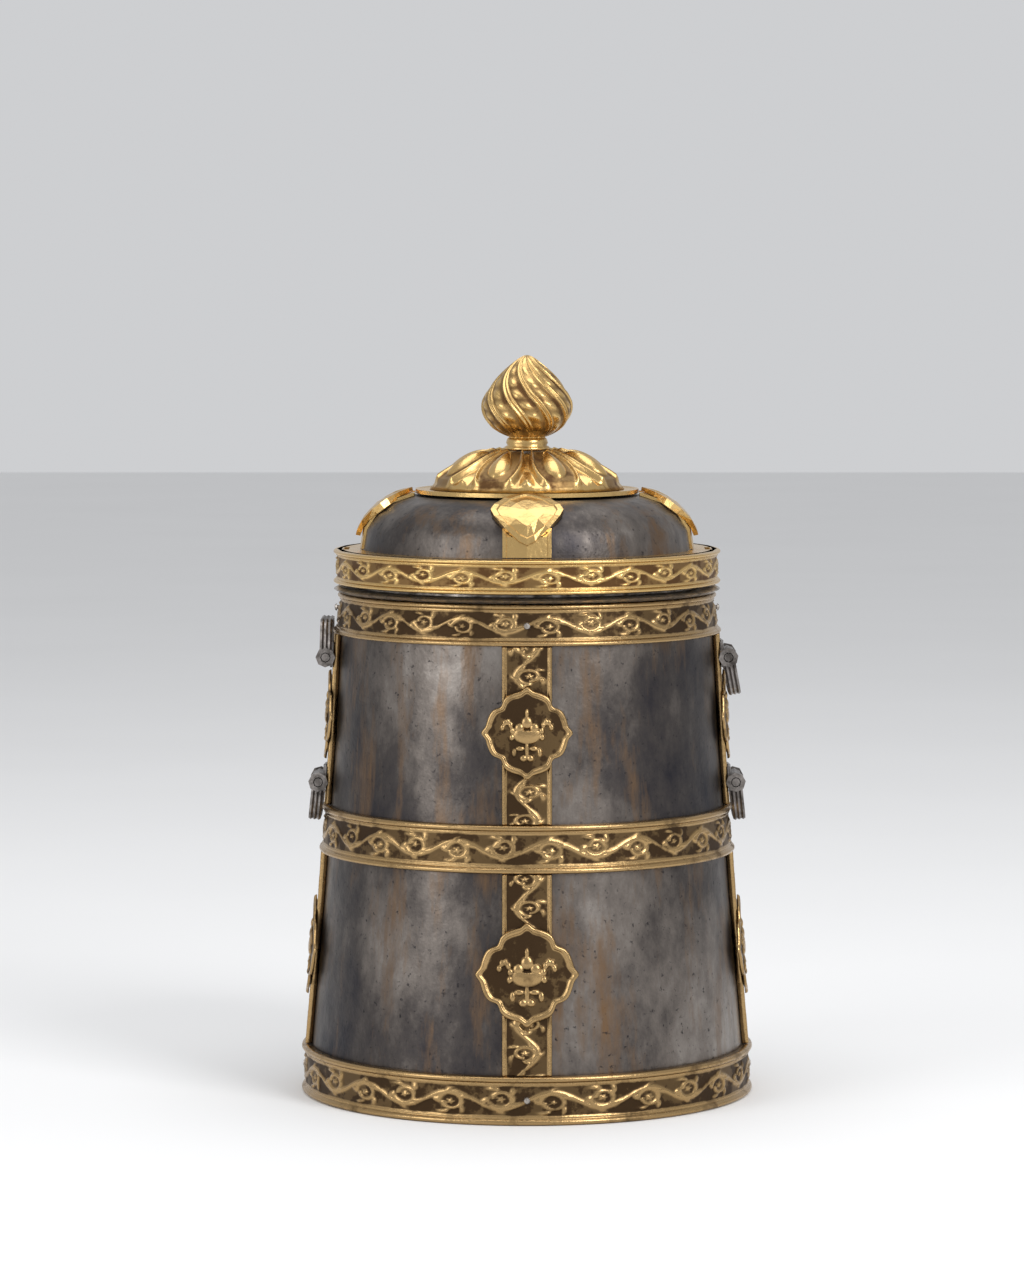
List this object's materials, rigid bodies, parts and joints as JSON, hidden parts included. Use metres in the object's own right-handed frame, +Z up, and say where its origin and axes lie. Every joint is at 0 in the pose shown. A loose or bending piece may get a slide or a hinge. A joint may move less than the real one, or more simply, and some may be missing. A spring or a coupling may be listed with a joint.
{
  "type": "lidded pot",
  "caption": "Tapered silver pot with gilt bands, straps and lobed plaques, swinging carrying bails, and a lift-off domed lid with a lotus mount and bud finial",
  "frame": {"origin": "centre of the foot's resting face", "axes": "+Z up, -Y front, +X to the right of the front"},
  "size_m": [0.2032, 0.2032, 0.3306],
  "materials": {
    "tarnished_silver": "hand-hammered silver with dark mottled tarnish",
    "plain_silver": "worn silver, lightly toned",
    "band_gilding": "fire gilding over chased relief, brown in the recesses",
    "bright_gilding": "warm bright fire gilding, brown in the recesses",
    "lug_silver": "dark worn silver"
  },
  "bodies": {
    "pot": {"silver_wall": "tarnished_silver", "base_plate": "tarnished_silver", "base_band": "band_gilding", "middle_band": "band_gilding", "rim_band": "band_gilding", "mouth_ring": "plain_silver", "front_strap_upper": "band_gilding", "front_strap_lower": "band_gilding", "front_plaque_upper": "band_gilding", "front_plaque_lower": "band_gilding", "rim_rivet_front": "plain_silver", "base_rivet_front": "plain_silver", "right_strap_upper": "band_gilding", "right_strap_lower": "band_gilding", "right_plaque_upper": "band_gilding", "right_plaque_lower": "band_gilding", "rim_rivet_right": "plain_silver", "base_rivet_right": "plain_silver", "back_strap_upper": "band_gilding", "back_strap_lower": "band_gilding", "back_plaque_upper": "band_gilding", "back_plaque_lower": "band_gilding", "rim_rivet_back": "plain_silver", "base_rivet_back": "plain_silver", "left_strap_upper": "band_gilding", "left_strap_lower": "band_gilding", "left_plaque_upper": "band_gilding", "left_plaque_lower": "band_gilding", "rim_rivet_left": "plain_silver", "base_rivet_left": "plain_silver", "right_upper_bracket": "lug_silver", "right_upper_pin": "lug_silver", "right_lower_bracket": "lug_silver", "right_lower_pin": "lug_silver", "left_upper_bracket": "lug_silver", "left_upper_pin": "lug_silver", "left_lower_bracket": "lug_silver", "left_lower_pin": "lug_silver"},
    "lid": {"lid_band": "bright_gilding", "lid_liner": "plain_silver", "lid_ledge_plate": "bright_gilding", "lid_dome": "tarnished_silver", "lotus_disc": "bright_gilding", "lotus_mount": "bright_gilding", "finial_bud": "bright_gilding", "finial_tang": "plain_silver", "finial_rove": "plain_silver", "front_lid_strap": "bright_gilding", "front_lid_plaque": "bright_gilding", "right_lid_strap": "bright_gilding", "right_lid_plaque": "bright_gilding", "back_lid_strap": "bright_gilding", "back_lid_plaque": "bright_gilding", "left_lid_strap": "bright_gilding", "left_lid_plaque": "bright_gilding"},
    "bail_right_upper": {"right_upper_bail": "lug_silver"},
    "bail_right_lower": {"right_lower_bail": "lug_silver"},
    "bail_left_upper": {"left_upper_bail": "lug_silver"},
    "bail_left_lower": {"left_lower_bail": "lug_silver"}
  },
  "joints": [
    {"name": "lid_lift", "type": "slide", "parent": "pot", "child": "lid", "axis": [0, 0, 1], "range_m": [0, 0.2]},
    {"name": "swing_right_upper", "type": "hinge", "parent": "pot", "child": "bail_right_upper", "pos_m": [0.09001, 0, 0.196], "axis": [0, -1, 0], "range_deg": [0, 165]},
    {"name": "swing_right_lower", "type": "hinge", "parent": "pot", "child": "bail_right_lower", "pos_m": [0.09346, 0, 0.14], "axis": [0, -1, 0], "range_deg": [0, 165]},
    {"name": "swing_left_upper", "type": "hinge", "parent": "pot", "child": "bail_left_upper", "pos_m": [-0.09001, 0, 0.196], "axis": [0, -1, 0], "range_deg": [0, 165]},
    {"name": "swing_left_lower", "type": "hinge", "parent": "pot", "child": "bail_left_lower", "pos_m": [-0.09346, 0, 0.14], "axis": [0, 1, 0], "range_deg": [0, 165]}
  ]
}
